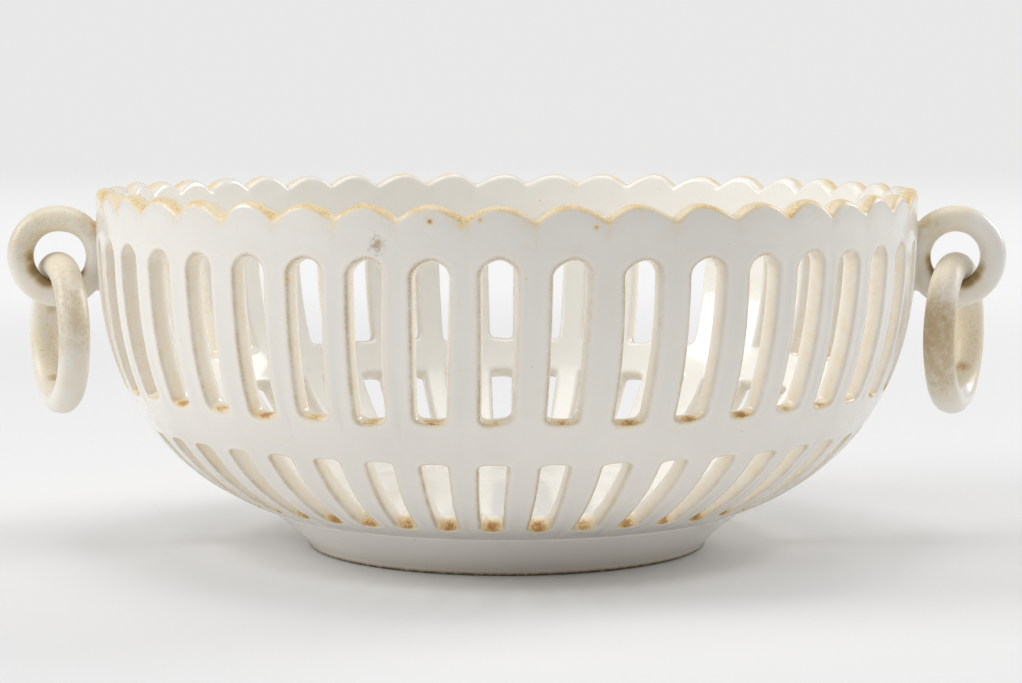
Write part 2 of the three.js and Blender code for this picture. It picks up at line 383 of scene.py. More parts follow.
def add_cell(sheet, tier, angle, edge, hand, rim, stain):
    """Both faces of one cell round its slot, and the rounded jambs between them. stain is how
    much brown has settled on the sill."""
    outline, length = tier.outline(hand)
    normals = outward(outline)
    up = outline[:, 1]
    rows = []

    def add(out, deep, way, from_edge, share=0.0, ridge=0.0):
        """One row of points round the opening: how far it lies outside it and under the outer face,
        its way over the edges from the outer face (0) to the inner one (3), its distance from the
        outer edge, its share of the way to the cell's edge, and its place on the raised glaze."""
        points = outline + out * normals
        points[:, 1] -= tier.sill_cut * deep * (1 - smooth(up, 0, 4 * MM))
        opening_angle, opening_z = tier.on_wall(angle, points, length)
        row_angle = lerp(opening_angle, edge[0], share)
        row_z = along_wall(opening_z, edge[1], share)
        raised = tier.ridge_height * math.sin(math.pi * ridge) ** 2
        rows.append((row_angle, row_z, deep - raised, way, from_edge, ridge, share))

    outer_width = tier.outer_edge[0] - bar_swell
    far = wall_thickness
    for share in tier.margin:
        add(outer_width + tier.ridge_reach, 0.0, 0.0, -far, share, 1.0)
    for ridge in (0.75, 0.5, 0.25):
        add(outer_width + ridge * tier.ridge_reach, 0.0, 0.0, -ridge * tier.ridge_reach, 0.0, ridge)
    for out, deep, turn in edge_rows(tier.outer_edge, count=6):
        add(out, deep, turn, math.hypot(outer_width - out, deep))
    for out, deep, turn in reversed(list(edge_rows(inner_edge, count=4))):
        add(out, wall_thickness - deep, 3 - turn, far)
    for share in (0.15, 0.5, 1.0):
        add(inner_edge[0] - bar_swell, wall_thickness, 3.0, far, share)
    angles, heights = (np.array([row[k] for row in rows]) for k in (0, 1))
    deep, way, from_edge, ridge, share = (np.array([row[k] for row in rows])[:, None] for k in range(2, 7))
    points = wall_point(angles, heights, np.broadcast_to(deep, angles.shape))
    sideways = outline[:, 0]
    # The line beside the edge is partly a stain and partly painted shade: stronger at the slot's top, and
    # strongest on its left edge, the side turned away from the key light.
    crest = smooth(up, length - 4 * MM, length - 1 * MM)
    shaded = smooth(-sideways, -2 * MM, 2 * MM)
    edge_line_and_shade = np.exp(-(((from_edge - line_distance) / line_reach) ** 2))
    side_share = 1 - 0.45 * math.sin(angle) ** 2
    round_share = 0.4 + 0.35 * np.maximum(crest, shaded) + 0.25 * shaded
    front_fade = 0.3 * (1 - ridge) + 0.7 * smooth(way, 0, 0.35)
    back_fade = 1 - smooth(deep / wall_thickness, 0.25, 0.9)
    side_fade = 0.35 + 0.65 * np.exp(-((sideways / (2 * MM)) ** 2))
    settled = (1 - smooth(up, sill_stain_low, sill_stain_high)) * front_fade * back_fade * side_fade
    sheet.grid(
        points,
        closed_rows=True,
        line=edge_line_and_shade * side_share * round_share,
        jamb=smooth(way, 0.15, 0.8),
        inner=smooth(way, 1.8, 2.8),
        sill=stain * settled,
        halo=(1 - ridge * smooth(share, -1, 0.4)) * (way < 0.4),
        lip=lip_share(rim(angles), heights, way),
    )


def lip_share(edge, z, way):
    """The rim's stain at a height, where edge is the height of the wall under its lip. It reaches
    further down in the notches, and less on the inner face."""
    below_top = edge + lip_rise - z
    notch = np.clip((rim_height - lip_rise - edge) / scallop_depth, 0, 1)
    reach = lerp(lobe_stain_reach, notch_stain_reach, notch)
    return (1 - smooth(below_top / reach, 0.1, 1.0)) * (1 - 0.75 * smooth(way, 0.6, 2.4))


def add_lip(sheet, angle, z):
    """The rounded lip along the top of one cell."""
    lip_rows = 11
    rows = []
    for turn in np.linspace(0, math.pi, lip_rows):
        inside = wall_thickness * (1 - math.cos(turn)) / 2
        lift = lip_rise * math.sin(turn) ** lip_fullness
        rows.append(wall_point(angle, z, np.full_like(angle, inside)) + [0, 0, lift])
    inner = np.linspace(0, 1, lip_rows)[:, None]
    top = z + lip_rise * np.sin(math.pi * inner) ** lip_fullness
    sheet.grid(np.array(rows), lip=lip_share(z, top, 3 * inner), inner=smooth(inner, 0.4, 0.9), jamb=0.3)


def add_floor(sheet, angle):
    """The underside and the floor below one cell, each running in to the axis."""
    z = np.full_like(angle, underside)
    for inside, is_floor in ((0.0, False), (wall_thickness, True)):
        edge = wall_point(angle, z, np.full_like(angle, inside))
        rows = []
        for share in (1, 0.97, 0.92, 0.85, 0.7, 0.4, 0):
            dip = floor_dip * (1 - share**floor_flatness) if is_floor else 0
            rows.append(edge * [share, share, 1] - [0, 0, dip])
        way = 1 if is_floor else -1
        sheet.grid(np.array(rows)[:, ::way], inner=float(is_floor), jamb=float(is_floor))


def lobe(share):
    """Height of a lobe, 0 at its notches and 1 at its top: a parabola with rounded notches."""
    away = np.hypot(np.minimum(share, 1 - share), notch_rounding) - notch_rounding
    away /= 2 * (math.hypot(0.5, notch_rounding) - notch_rounding)
    return 4 * away * (1 - away)


def basket_bowl(material):
    """The bowl: a cell of wall round each slot of both tiers, with its lip above and floor below."""
    upper_tier = Tier(
        (upper_slot_bottom, upper_slot_top),
        widths=(7.5 * MM, 8.6 * MM),
        rises=(2.0 * MM, 4.0 * MM),
        powers=((0.62, 0.62), (1.15, 1.0)),
        outer_edge=upper_outer_edge,
        sill_cut=0.23,
        ridge=(0.06 * MM, 1.5 * MM),
        counts=(14, 8, 20),
        margin=(1.0, 0.62, 0.28, 0.0),
        uneven=1.0 * MM,
    )
    lower_tier = Tier(
        (lower_slot_bottom, lower_slot_top),
        widths=(5.5 * MM, 6.8 * MM),
        rises=(1.8 * MM, 2.0 * MM),
        powers=((0.75, 0.75), (0.62, 0.62)),
        outer_edge=lower_outer_edge,
        sill_cut=0.1,
        ridge=(0.03 * MM, 0.9 * MM),
        counts=(12, 8, 14),
        margin=(1.0, 0.86, 0.66, 0.42, 0.2, 0.0),
        uneven=0.6 * MM,
    )
    sheet = Sheet("line", "jamb", "inner", "sill", "halo", "lip")
    hand = random.Random(5)
    stains = random.Random(8)
    angles = slot_angles()
    rights = (angles + np.append(angles[1:], angles[0] + 2 * math.pi)) / 2
    lefts = np.insert(rights[:-1], 0, rights[-1] - 2 * math.pi)
    shoulder = rim_height - lip_rise
    notches = [shoulder - scallop_depth + lobe_unevenness * hand.uniform(-1, 1) for _ in angles]
    peaks = [shoulder - lobe_unevenness * hand.uniform(0, 1.6) for _ in angles]
    leans = [lobe_lean + 0.04 * hand.uniform(-1, 1) for _ in angles]

    def foot(share):
        return np.full_like(share, underside)

    def band(share):
        return np.full_like(share, band_middle)

    for i, angle in enumerate(angles):
        left, right = lefts[i], rights[i]
        ends = notches[i], notches[(i + 1) % len(notches)]

        def scallop(share, ends=ends, peak=peaks[i], lean=leans[i]):
            base = lerp(ends[0], ends[1], share)
            return base + (peak - base) * lobe(share + lean * np.sin(math.pi * share))

        def rim(at, left=left, right=right, scallop=scallop):
            return scallop(np.clip((at - left) / (right - left), 0, 1))

        lower_edge = border(left, right, foot, band, lower_tier)
        upper_edge = border(left, right, band, scallop, upper_tier)
        add_cell(sheet, lower_tier, angle, lower_edge, hand, rim, stains.uniform(0.85, 1.25))
        add_cell(sheet, upper_tier, angle, upper_edge, hand, rim, stains.uniform(0.6, 1.1))
        along = lerp(left, right, np.linspace(0, 1, upper_tier.top_count + 1))
        add_lip(sheet, along, rim(along))
        add_floor(sheet, lerp(left, right, np.linspace(0, 1, lower_tier.bottom_count + 1)))
    return sheet.piece("bowl", material)


def bezier(ends, count):
    """Points along a cubic curve with four control points."""
    t = np.linspace(0, 1, count)[:, None]
    a, b, c, d = (np.array(p, float) for p in ends)
    return (1 - t) ** 3 * a + 3 * (1 - t) ** 2 * t * b + 3 * (1 - t) * t**2 * c + t**3 * d


def foot_ring(material):
    """The foot: turned, and flaring out into the underside of the wall."""
    flare_rows, turn_steps = 14, 288
    flare_radius = float(wall_radius(np.array(flare_end)))
    flare_ends = [
        (foot_bottom_radius + 0.3 * MM, flare_start),
        (foot_bottom_radius + 2.5 * MM, flare_start + 2.3 * MM),
        (flare_radius - 4.4 * MM, flare_end - 3.2 * MM),
        (flare_radius, flare_end),
    ]
    flare = bezier(flare_ends, flare_rows)
    corner = np.linspace(-math.pi / 2, 0, 6)[:, None]
    rounded = foot_edge_rounding * np.concatenate([np.cos(corner), np.sin(corner)], 1)
    outside = rounded + (foot_bottom_radius - foot_edge_rounding, foot_edge_rounding)
    inside = rounded[::-1] * (-1, 1) + (foot_inner_radius + foot_edge_rounding, foot_edge_rounding)
    recess = [
        (foot_inner_radius - 0.6 * MM, underside + 1.5 * MM),
        (foot_inner_radius - 0.3 * MM, foot_height - 1 * MM),
    ]
    top = [
        (flare_radius + 0.1 * MM, flare_end + 0.4 * MM),
        (flare_radius - 2 * MM, flare_end + 1.2 * MM),
    ]
    profile = np.concatenate([recess, inside, outside, flare, top])
    turn = np.arange(turn_steps) / turn_steps * 2 * math.pi
    across = np.stack([np.sin(turn), -np.cos(turn)], -1)
    radius, height = profile[:, 0], profile[:, 1]
    plane = radius[:, None, None] * across[None]
    level = np.broadcast_to(height[:, None, None], plane.shape[:2] + (1,))
    points = np.concatenate([plane, level], -1)
    # rub masks the rubbed tan and the dirt and painted contact shadow at the bottom edge. low masks the
    # painted shade towards the table.
    rub = 1 - smooth(height, 0.2 * MM, 1.4 * MM)
    low = 1 - np.clip(height / flare_end, 0, 1)
    sheet = Sheet("rub", "low")
    sheet.grid(points, closed_rows=True, closed_columns=True, rub=rub[:, None], low=low[:, None])
    return sheet.piece("foot", material)


# Handles


def ring(name, centre, plane_turn, size, seed, material):
    """A ring rolled by hand, in an upright plane turned from the XZ plane. Its size is its radius,
    its oval section's half thickness and half width, and how much thinner it is towards +x."""
    radius, tube, half_width, thinning = size
    around, across = 144, 40
    phi = np.arange(around) / around * 2 * math.pi
    psi = np.arange(across) / across * 2 * math.pi
    phi, psi = np.meshgrid(phi, psi, indexing="ij")
    plane = np.array([math.cos(plane_turn), math.sin(plane_turn), 0])
    side = np.array([-math.sin(plane_turn), math.cos(plane_turn), 0])
    up = np.array([0, 0, 1.0])
    out = np.cos(phi)[..., None] * plane + np.sin(phi)[..., None] * up
    push = tube * np.cos(psi)[..., None] * out + half_width * np.sin(psi)[..., None] * side
    path = np.array(centre) + radius * out
    field = waves(seed, count=7, shortest=12 * MM, longest=40 * MM)
    uneven = np.clip(field(path + push) - 1, -2, 0)
    outer = smooth(np.cos(psi), -0.2, 0.5)
    swell = 1 + ring_swell * uneven * (0.3 + 0.7 * outer)
    thinner = thinning * smooth(np.cos(phi), 0, 1) * smooth(-np.cos(psi), 0, 1)
    points = path + swell[..., None] * push + thinner[..., None] * out
    facing = push / np.linalg.norm(push, axis=-1)[..., None]
    sheet = Sheet("top", "hollow")
    sheet.grid(
        points,
        closed_rows=True,
        closed_columns=True,
        top=smooth(facing[..., 2], -0.3, 0.9),
        hollow=smooth(-np.cos(psi), -0.3, 0.7),
    )
    return sheet.piece(name, material)


def slip_collar(name, side, material):
    """The slip smoothed round the end of a fixed ring: a hollow curve from the wall to the ring."""
    around, rows_between = 72, 12
    turn = np.arange(around) / around * 2 * math.pi

    def on_wall(share):
        z = handle_height + share * slip_half_height * np.sin(turn)
        y = share * slip_half_width * np.cos(turn)
        x = np.sqrt(wall_radius(z) ** 2 - y**2) - slip_in_wall
        return np.stack([x, y, z], -1)

    def on_ring(share, tube):
        phi = share * slip_turn_along * np.sin(turn)
        psi = share * slip_turn_across * np.cos(turn)
        out = np.stack([-np.cos(phi), np.zeros_like(phi), np.sin(phi)], -1)
        middle = np.array([handle_distance, 0, handle_height]) + fixed_ring_radius * out
        push = np.cos(psi)[:, None] * out + np.sin(psi)[:, None] * np.array([0, 1.0, 0])
        return middle + tube * push

    def unit(vectors):
        return vectors / np.linalg.norm(vectors, axis=1)[:, None]

    tube = fixed_ring_tube - slip_in_ring
    start, end = on_wall(1.0), on_ring(1.0, tube)
    leave = unit(on_wall(0.99) - start)
    arrive = unit(on_ring(1.01, tube) - end)
    reach = slip_pull * np.linalg.norm(end - start, axis=1)[:, None]
    rows = [start + leave * 2 * MM - [2 * MM, 0, 0], start]
    for t in np.linspace(0, 1, rows_between)[1:-1]:
        leaving = lerp(start, start + reach * leave, t)
        between = lerp(start + reach * leave, end - reach * arrive, t)
        arriving = lerp(end - reach * arrive, end, t)
        rows.append(lerp(lerp(leaving, between, t), lerp(between, arriving, t), t))
    rows += [end, on_ring(1.0, tube - 1.5 * MM)]
    points = np.array(rows)
    if side < 0:
        points = points[:, ::-1] * [-1, 1, 1]
    way = np.linspace(0, 1, len(rows))[:, None]
    sheet = Sheet("top", "hollow")
    height = (points[..., 2] - handle_height) / slip_half_height
    sheet.grid(
        points,
        closed_rows=True,
        closed_columns=True,
        top=smooth(height, -0.4, 1.0),
        hollow=0.5 * np.sin(math.pi * way) ** 2,
    )
    return sheet.piece(name, material)


# Materials


class Material:
    """A Principled material whose colour and bump are built from small node helpers. Places, sizes
    and shifts are in millimetres."""

    def __init__(self, name):
        self.material = bpy.data.materials.new(name)
        self.material.use_nodes = True
        self.tree = self.material.node_tree
        self.shader = self.tree.nodes["Principled BSDF"]
        self.place = self.node("ShaderNodeVectorMath", operation="SCALE")
        self.link(self.node("ShaderNodeTexCoord").outputs["Object"], self.place.inputs[0])
        self.place.inputs["Scale"].default_value = 1 / MM

    def node(self, kind, **settings):
        made = self.tree.nodes.new(kind)
        for key, value in settings.items():
            setattr(made, key, value)
        return made

    def link(self, source, target):
        self.tree.links.new(source, target)

    def put(self, target, value):
        """Links another socket to this one, or sets it to a colour or a number."""
        if isinstance(value, bpy.types.NodeSocket):
            self.link(value, target)
        elif isinstance(value, tuple):
            target.default_value = (*value, 1.0)
        else:
            target.default_value = value

    def math(self, operation, a, b):
        made = self.node("ShaderNodeMath", operation=operation)
        self.put(made.inputs[0], a)
        self.put(made.inputs[1], b)
        return made.outputs[0]

    def product(self, first, *others):
        for value in others:
            first = self.math("MULTIPLY", first, value)
        return first

    def total(self, first, *others):
        for value in others:
            first = self.math("ADD", first, value)
        return first

    def centred(self, noise):
        """Noise that runs from -0.5 to 0.5."""
        return self.math("SUBTRACT", noise, 0.5)

    def ramp(self, value, low, high, to_low=0.0, to_high=1.0):
        """A soft change from to_low to to_high, while the value goes from low to high."""
        made = self.node("ShaderNodeMapRange", interpolation_type="SMOOTHSTEP")
        for socket, number in zip(made.inputs, (value, low, high, to_low, to_high)):
            self.put(socket, number)
        return made.outputs["Result"]

    def texture(self, kind, size_mm, shift):
        made = self.node(kind)
        moved = self.node("ShaderNodeVectorMath", operation="ADD")
        self.link(self.place.outputs[0], moved.inputs[0])
        moved.inputs[1].default_value = shift
        self.link(moved.outputs[0], made.inputs["Vector"])
        made.inputs["Scale"].default_value = 1 / size_mm
        return made

    def noise(self, size_mm, detail, roughness=0.55, shift=0.0):
        """Noise from 0 to 1 with features about size_mm across."""
        made = self.texture("ShaderNodeTexNoise", size_mm, (shift, 2 * shift, -shift))
        made.inputs["Detail"].default_value = detail
        made.inputs["Roughness"].default_value = roughness
        return made.outputs["Fac"]

    def dots(self, spacing_mm, radius_mm, share, shift):
        """Round specks, one in each cell of about spacing_mm, kept in a share of the cells."""
        made = self.texture("ShaderNodeTexVoronoi", spacing_mm, (shift, -shift, 2 * shift))
        size = radius_mm / spacing_mm
        round_dot = self.ramp(made.outputs["Distance"], 0.5 * size, size, 1.0, 0.0)
        pick = self.node("ShaderNodeSeparateColor")
        self.link(made.outputs["Color"], pick.inputs[0])
        kept = self.math("LESS_THAN", pick.outputs[0], share)
        return self.product(round_dot, kept, pick.outputs[1])

    def attribute(self, name):
        return self.node("ShaderNodeAttribute", attribute_name=name).outputs["Fac"]

    def mix(self, share, colour, other):
        """A colour, changed to the other one by a share."""
        made = self.node("ShaderNodeMix", data_type="RGBA")
        colour_input, other_input, colour_output = made.inputs[6], made.inputs[7], made.outputs[2]
        self.put(made.inputs["Factor"], share)
        self.put(colour_input, colour)
        self.put(other_input, other)
        return colour_output

    def spot(self, centre, radius_mm):
        """A soft round patch: 1 at its centre and 0 from radius_mm on."""
        made = self.node("ShaderNodeVectorMath", operation="DISTANCE")
        self.link(self.place.outputs[0], made.inputs[0])
        made.inputs[1].default_value = tuple(centre)
        return self.ramp(made.outputs["Value"], 0.0, radius_mm, 1.0, 0.0)

    def bump(self, height, distance_mm, strength=1.0, under=None):
        """Bumps from a height, on top of those under them."""
        made = self.node("ShaderNodeBump")
        made.inputs["Strength"].default_value = strength
        made.inputs["Distance"].default_value = distance_mm * MM
        self.put(made.inputs["Height"], height)
        if under is not None:
            self.link(under, made.inputs["Normal"])
        return made.outputs["Normal"]


# Colours of the glaze and of its stains.
white_glaze = (0.83, 0.80, 0.745)
shaded_glaze = tuple(0.96 * c for c in white_glaze)
pooled_glaze = (0.86, 0.82, 0.745)
cream_glaze = (0.86, 0.80, 0.70)
# The inside is painted paler than the outer glaze: partly the glaze's creamier tone, and partly painted
# light for the light that falls into the bowl.
lit_inner_glaze = (0.93, 0.905, 0.845)
ring_cream = (0.81, 0.75, 0.64)
pale_ochre = (0.84, 0.65, 0.32)
ochre_stain = (0.58, 0.31, 0.06)
brown_stain = (0.30, 0.125, 0.015)
rust_stain = (0.46, 0.18, 0.03)
grey_speck = (0.30, 0.235, 0.14)
yellow_stain = (0.82, 0.72, 0.51)
tan_stain = (0.66, 0.56, 0.40)
dark_tan_stain = (0.50, 0.385, 0.225)
# Colour of the line beside each slot's edge: an ochre stain that also darkens the edge as painted shade.
edge_stain_and_shade = (0.51, 0.385, 0.205)
olive_stain = (0.48, 0.32, 0.10)
smudge_brown = (0.40, 0.31, 0.18)
hole_dirt = (0.22, 0.13, 0.035)
# Dirt at the foot's bottom edge, dark enough that it also stands for the contact shadow there.
foot_dirt_and_shade = (0.12, 0.08, 0.04)

# Gloss of the glaze and of its clear coat, and of both where the rings are worn or clean.
glaze_roughness = 0.26
glaze_ior = 1.5
coat_weight = 0.6
coat_roughness = 0.06
coat_ior = 1.45
stained_coat_weight = 0.15
worn_roughness, clean_roughness = 0.42, 0.34
worn_coat_weight, clean_coat_weight = 0.2, 0.55
ring_coat_roughness = 0.15

# Specks on the bowl: spacing and radius in millimetres, share of the cells, shift and colour.
bowl_specks = [
    (5.0, 0.4, 0.16, 1.0, pale_ochre),
    (2.6, 0.16, 0.14, 5.0, grey_speck),
    (7.5, 0.42, 0.05, 12.5, ochre_stain),
]

# Marks on the front: angle in degrees, height and radius in millimetres, strength and colour.
front_marks = [
    (-15.5, 83.6, 1.5, 0.6, dark_tan_stain),
    (-9.2, 88.5, 1.9, 0.5, pale_ochre),
    (-9.2, 88.5, 0.85, 1.0, rust_stain),
    (10.95, 87.2, 1.3, 0.75, pale_ochre),
    (10.95, 87.2, 0.6, 0.7, ochre_stain),
    (-3.1, 88.9, 1.3, 0.75, pale_ochre),
    (-3.1, 88.9, 0.6, 0.6, ochre_stain),
    (-28.0, 75.0, 1.4, 0.7, pale_ochre),
    (-28.0, 75.0, 0.7, 0.7, rust_stain),
]

# A smudge on the front: angle in degrees, height and radius in millimetres.
smudge_angle, smudge_height, smudge_radius = -15.8, 83.2, 4.4


def glazed(m, colour, bumps):
    """Gives a material its colour and bumps, and a glossy glaze under a clear coat."""
    inputs = m.shader.inputs
    m.link(colour, inputs["Base Color"])
    m.link(bumps, inputs["Normal"])
    inputs["Roughness"].default_value = glaze_roughness
    inputs["IOR"].default_value = glaze_ior
    inputs["Coat Weight"].default_value = coat_weight
    inputs["Coat Roughness"].default_value = coat_roughness
    inputs["Coat IOR"].default_value = coat_ior


def front_point(angle_degrees, z_mm):
    """A point of the outer wall in millimetres, from its angle and height."""
    point = wall_point(np.array(math.radians(angle_degrees)), np.array(z_mm * MM), np.array(0.0))
    return point / MM


def bowl_glaze():
    """White glaze on the outer face, creamier on the cut edges and inside, and painted paler inside as
    painted light for the light that falls into the bowl, with ochre stains where the glaze is thin and
    brown ones where dirt collects."""
    m = Material("bowl_glaze")
    line, jamb, inner = m.attribute("line"), m.attribute("jamb"), m.attribute("inner")
    sill, halo, lip = m.attribute("sill"), m.attribute("halo"), m.attribute("lip")
    broad = m.noise(24.0, detail=2.0)
    coarse = m.noise(9.0, detail=1.0)
    worn = m.noise(8.0, detail=2.0, roughness=0.5, shift=41.0)
    patchy = m.noise(4.5, detail=3.0, roughness=0.6, shift=17.0)
    fine = m.noise(1.1, detail=4.0, roughness=0.65, shift=3.0)
    grain = m.noise(0.45, detail=3.0, roughness=0.7, shift=9.0)

    # The glaze, with a faint haze of ochre.
    colour = m.mix(m.ramp(broad, 0.3, 0.7), white_glaze, shaded_glaze)
    colour = m.mix(m.product(halo, 0.8), colour, pooled_glaze)
    colour = m.mix(jamb, colour, cream_glaze)
    # Painted light: the inside is paler than the outside.
    colour = m.mix(inner, colour, lit_inner_glaze)
    haze = m.product(m.ramp(patchy, 0.5, 0.78), m.ramp(fine, 0.4, 0.7), 0.25)
    colour = m.mix(haze, colour, pale_ochre)

    # Rubs and flecks on the cut faces, and a line beside each slot's edge: partly an ochre stain and partly
    # painted shade, darkest on the slots' left edges.
    cut_face = m.product(jamb, m.math("SUBTRACT", 1.0, inner))
    rubbed = m.product(cut_face, m.ramp(patchy, 0.35, 0.75), m.ramp(fine, 0.3, 0.65), 0.45)
    colour = m.mix(rubbed, colour, pale_ochre)
    flecks = m.dots(spacing_mm=3.4, radius_mm=0.34, share=0.16, shift=9.0)
    colour = m.mix(m.product(cut_face, flecks, 0.8), colour, ochre_stain)
    grown = m.total(m.centred(patchy), m.centred(broad))
    edge_line_and_shade = m.product(line, m.ramp(grown, -0.25, 0.15, 0.45, 1.0), m.ramp(grain, 0.35, 0.6, 0.5, 1.0))
    colour = m.mix(edge_line_and_shade, colour, edge_stain_and_shade)

    # The rim's stain, darker in places.
    spread = m.total(lip, m.product(m.centred(patchy), 1.1))
    lip_stain = m.product(
        m.ramp(spread, 0.15, 0.7),
        m.ramp(fine, 0.3, 0.62, 0.45, 1.0),
        m.ramp(worn, 0.35, 0.6, 0.6, 1.0),
        0.95,
    )
    colour = m.mix(lip_stain, colour, pale_ochre)
    lip_dark = m.product(
        m.ramp(spread, 0.4, 1.0),
        m.ramp(grain, 0.44, 0.62),
        m.ramp(worn, 0.42, 0.62, 0.2, 1.0),
        0.85,
    )
    colour = m.mix(lip_dark, colour, ochre_stain)

    # Brown settled on the sills, paler round its edge.
    pool = m.total(m.product(m.centred(grain), 1.6), m.centred(fine), m.centred(coarse), sill)
    sill_pale = m.product(m.ramp(pool, 0.05, 0.6), m.ramp(sill, 0.02, 0.3), 0.7)
    colour = m.mix(sill_pale, colour, pale_ochre)
    sill_stain = m.product(m.ramp(pool, 0.35, 1.05), m.ramp(sill, 0.15, 0.55), 0.85)
    colour = m.mix(sill_stain, colour, ochre_stain)
    sill_dark = m.product(m.ramp(pool, 0.6, 1.3), m.ramp(sill, 0.35, 0.85), 0.8)
    colour = m.mix(sill_dark, colour, brown_stain)

    # Specks, the smudge and the marks.
    for spacing, radius, share, shift, tone in bowl_specks:
        colour = m.mix(m.dots(spacing, radius, share, shift), colour, tone)
    smeared = m.product(m.centred(fine), 2.4)
    smudge = m.total(m.spot(front_point(smudge_angle, smudge_height), smudge_radius), smeared)
    colour = m.mix(m.product(m.ramp(smudge, 0.45, 1.25), 0.8), colour, smudge_brown)
    for angle, height, radius, strength, tone in front_marks:
        spot = m.spot(front_point(angle, height), radius)
        colour = m.mix(m.product(spot, strength), colour, tone)

    # Small dimples and pits, and gloss, duller on the stains.
    dimpled = m.bump(m.noise(6.0, detail=2.0, roughness=0.5, shift=31.0), 0.12)
    pitted = m.total(sill_dark, m.product(fine, 0.25))
    glazed(m, colour, m.bump(pitted, 0.06, 0.6, dimpled))
    rough = m.product(m.math("MAXIMUM", m.product(sill_pale, 0.6), lip_stain), 0.4)
    m.link(m.total(rough, m.ramp(broad, 0.2, 0.8, 0.2, 0.28)), m.shader.inputs["Roughness"])
    m.link(m.ramp(rough, 0.0, 0.3, coat_weight, stained_coat_weight), m.shader.inputs["Coat Weight"])
    return m.material


def foot_glaze():
    """White glaze, darker and tanner towards the table as painted shade, and rubbed and dirty where the
    foot stands, with a painted contact shadow in the darkest line at its bottom edge.
    """
    m = Material("foot_glaze")
    broad = m.noise(24.0, detail=2.0)
    fine = m.noise(1.2, detail=4.0, roughness=0.65, shift=3.0)
    colour = m.mix(m.ramp(broad, 0.3, 0.7), white_glaze, shaded_glaze)
    # Painted shade: tan darkening towards the table, where the foot stands close to the floor.
    low_shade = m.product(m.ramp(m.attribute("low"), 0.4, 1.0), m.ramp(fine, 0.3, 0.6, 0.8, 1.0), 0.3)
    colour = m.mix(low_shade, colour, tan_stain)
    specks = m.dots(spacing_mm=3.6, radius_mm=0.2, share=0.14, shift=4.0)
    colour = m.mix(specks, colour, grey_speck)
    rub = m.attribute("rub")
    rubbed = m.product(m.ramp(rub, 0.0, 0.6), m.ramp(fine, 0.3, 0.6, 0.5, 1.0), 0.8)
    colour = m.mix(rubbed, colour, dark_tan_stain)
    # The darkest line at the bottom edge is partly dirt and partly a painted contact shadow.
    dirt = m.product(m.ramp(rub, 0.5, 1.0), m.ramp(fine, 0.3, 0.55, 0.6, 1.0))
    colour = m.mix(dirt, colour, foot_dirt_and_shade)
    glazed(m, colour, m.bump(m.noise(6.0, detail=2.0, roughness=0.5, shift=31.0), 0.1))
    return m.material


def ring_glaze(name, patches, rubs, clean_place):
    """White glaze, worn matt, creamier on top and in the hole, and clean round one place."""
    m = Material(name)
    clean = m.ramp(m.spot(*clean_place), 0.0, 0.6)
    top, hollow = m.attribute("top"), m.attribute("hollow")
    broad = m.noise(9.0, detail=3.0, roughness=0.6)
    fine = m.noise(1.3, detail=4.0, roughness=0.65, shift=3.0)
    grain = m.noise(0.45, detail=3.0, roughness=0.7, shift=9.0)
    mottled = m.total(m.centred(broad), m.centred(fine))
    mottling = m.ramp(m.noise(2.4, detail=4.0, roughness=0.7, shift=23.0), 0.35, 0.6, 0.5, 1.0)

    # The glaze, yellower on top and in the hole.
    creamy = m.product(m.ramp(broad, 0.3, 0.7), m.ramp(clean, 0.0, 1.0, 1.0, 0.2))
    colour = m.mix(creamy, white_glaze, ring_cream)
    where = m.math("MAXIMUM", m.product(top, 0.6), m.product(hollow, 0.6))
    where = m.math("SUBTRACT", where, m.product(clean, 0.6))
    yellowed = m.ramp(m.total(where, mottled), 0.1, 1.0)
    colour = m.mix(m.product(yellowed, 0.7), colour, yellow_stain)

    # Patches of stain, and specks where there is stain.
    stained = m.product(yellowed, 0.4)
    for place, radius, strength, tone in patches:
        near = m.spot(place, radius)
        patch = m.total(near, m.product(mottled, 0.7))
        patch = m.product(m.ramp(patch, 0.0, 0.9), m.ramp(near, 0.0, 0.4), mottling, strength)
        colour = m.mix(patch, colour, tone)
        stained = m.math("MAXIMUM", stained, patch)
    speckled = m.product(stained, m.ramp(grain, 0.5, 0.66), 0.75)
    colour = m.mix(speckled, colour, dark_tan_stain)
    specks = m.dots(spacing_mm=1.5, radius_mm=0.22, share=0.12, shift=7.0)
    colour = m.mix(specks, colour, olive_stain)

    # Brown in the hole, where the rings rub.
    rubbed = 0.0
    for place, radius, strength in rubs:
        rubbed = m.math("MAXIMUM", rubbed, m.product(m.spot(place, radius), strength))
    if rubs:
        rubbed = m.product(rubbed, hollow, hollow)
        rub = m.total(rubbed, m.product(mottled, 0.35))
        around = m.product(m.ramp(rub, 0.0, 0.7), m.ramp(rubbed, 0.0, 0.3), 0.7)
        colour = m.mix(around, colour, olive_stain)
        core = m.product(m.ramp(rub, 0.45, 1.1), m.ramp(rubbed, 0.3, 0.7), 0.75)
        colour = m.mix(core, colour, hole_dirt)
    specks = m.dots(spacing_mm=2.8, radius_mm=0.24, share=0.22, shift=2.0)
    colour = m.mix(specks, colour, ochre_stain)

    # Small dimples, and gloss, brighter where it is clean.
    dimpled = m.bump(m.noise(5.0, detail=2.0, roughness=0.5, shift=31.0), 0.12)
    glazed(m, colour, m.bump(fine, 0.05, 0.5, dimpled))
    roughness = m.ramp(clean, 0.0, 1.0, worn_roughness, clean_roughness)
    m.link(roughness, m.shader.inputs["Roughness"])
    m.link(m.ramp(clean, 0.0, 1.0, worn_coat_weight, clean_coat_weight), m.shader.inputs["Coat Weight"])
    m.shader.inputs["Coat Roughness"].default_value = ring_coat_roughness
    return m.material


